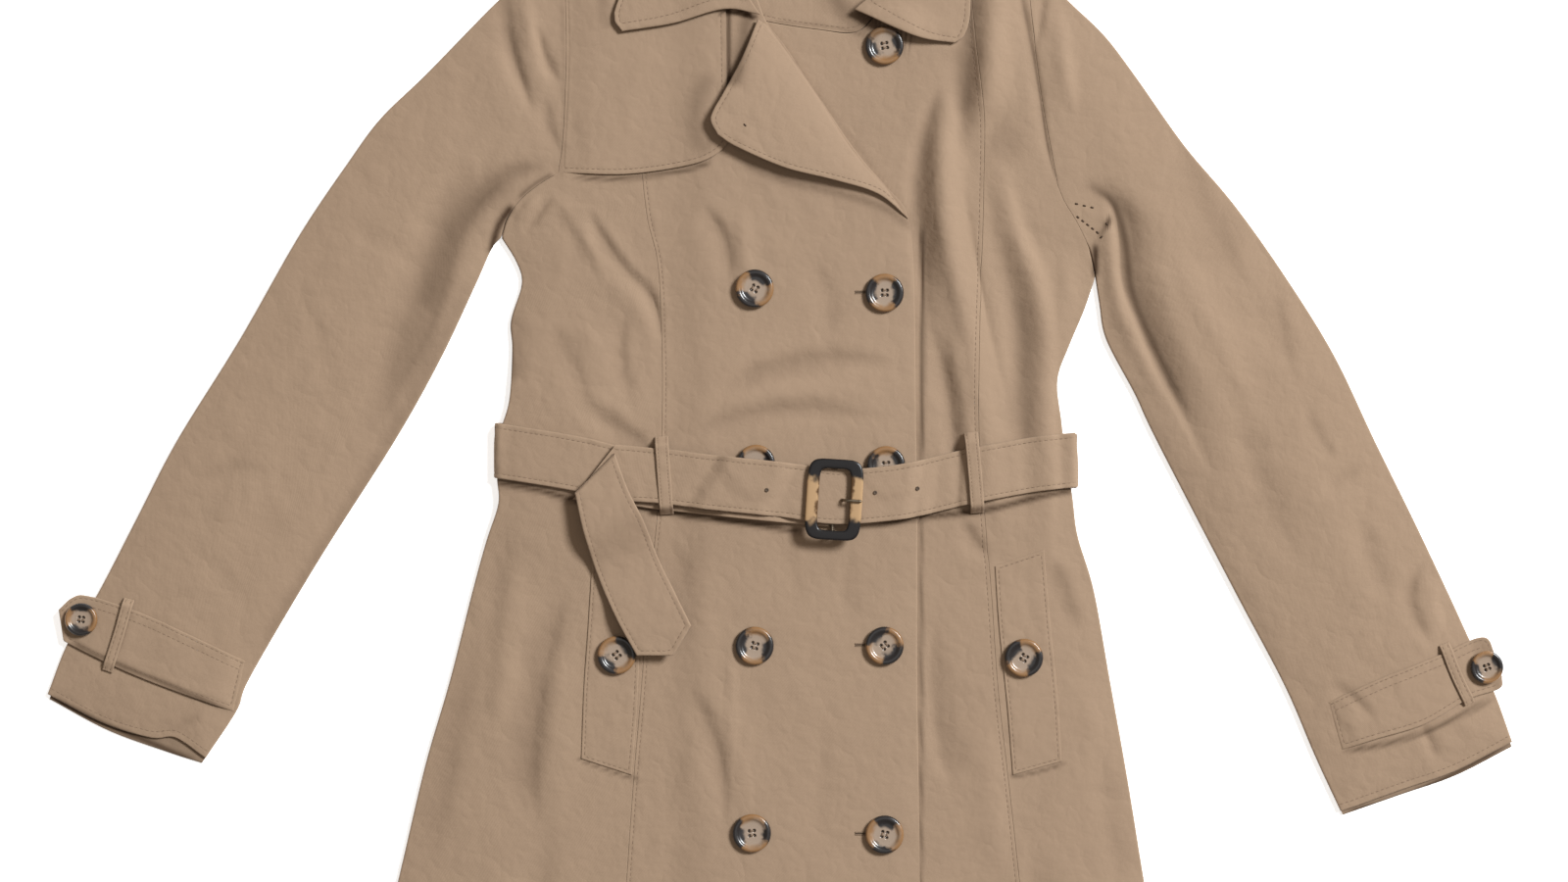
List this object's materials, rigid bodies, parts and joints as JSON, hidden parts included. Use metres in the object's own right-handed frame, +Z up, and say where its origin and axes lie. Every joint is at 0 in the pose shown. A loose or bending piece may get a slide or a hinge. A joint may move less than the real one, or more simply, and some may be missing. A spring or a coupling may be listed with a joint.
{
  "type": "trench coat",
  "caption": "Double-breasted belted trench coat laid flat, with gun flap, turned-back lapel, cuff straps, slanted pocket welts and a buckled belt with hanging tail.",
  "frame": {"origin": "on the surface the coat lies on, under the middle of its bounding box", "axes": "+X to the wearer's left sleeve, +Y to the collar, +Z up through the front of the coat"},
  "size_m": [1.0752, 0.9136, 0.028],
  "materials": {
    "shell": "matte cotton twill",
    "belt": "matte cotton twill, doubled",
    "button": "polished mottled resin",
    "buckle": "polished mottled resin",
    "buckle_metal": "antique satin"
  },
  "bodies": {
    "root": {"back_panel": "shell", "belt_back": "belt", "belt_buckle_end": "belt", "belt_free_end": "belt", "belt_loop_left": "shell", "belt_loop_right": "shell", "belt_tail": "belt", "buckle_bar": "buckle_metal", "buckle_frame": "buckle", "buckle_prong": "buckle_metal", "button_chest_left": "button", "button_chest_right": "button", "button_cuff_left": "button", "button_cuff_right": "button", "button_hip_left": "button", "button_hip_right": "button", "button_pocket_left": "button", "button_pocket_right": "button", "button_skirt_left": "button", "button_skirt_right": "button", "button_top_left": "button", "button_waist_left": "button", "button_waist_right": "button", "collar_fall": "shell", "collar_stand": "shell", "cuff_loop_left": "shell", "cuff_loop_right": "shell", "cuff_strap_left": "shell", "cuff_strap_right": "shell", "front_over": "shell", "front_over_side": "shell", "front_under": "shell", "front_under_side": "shell", "gun_flap": "shell", "lapel": "shell", "neck_band": "shell", "sleeve_top_left": "shell", "sleeve_top_right": "shell", "sleeve_under_left": "shell", "sleeve_under_right": "shell", "welt_left": "shell", "welt_right": "shell"}
  },
  "joints": []
}
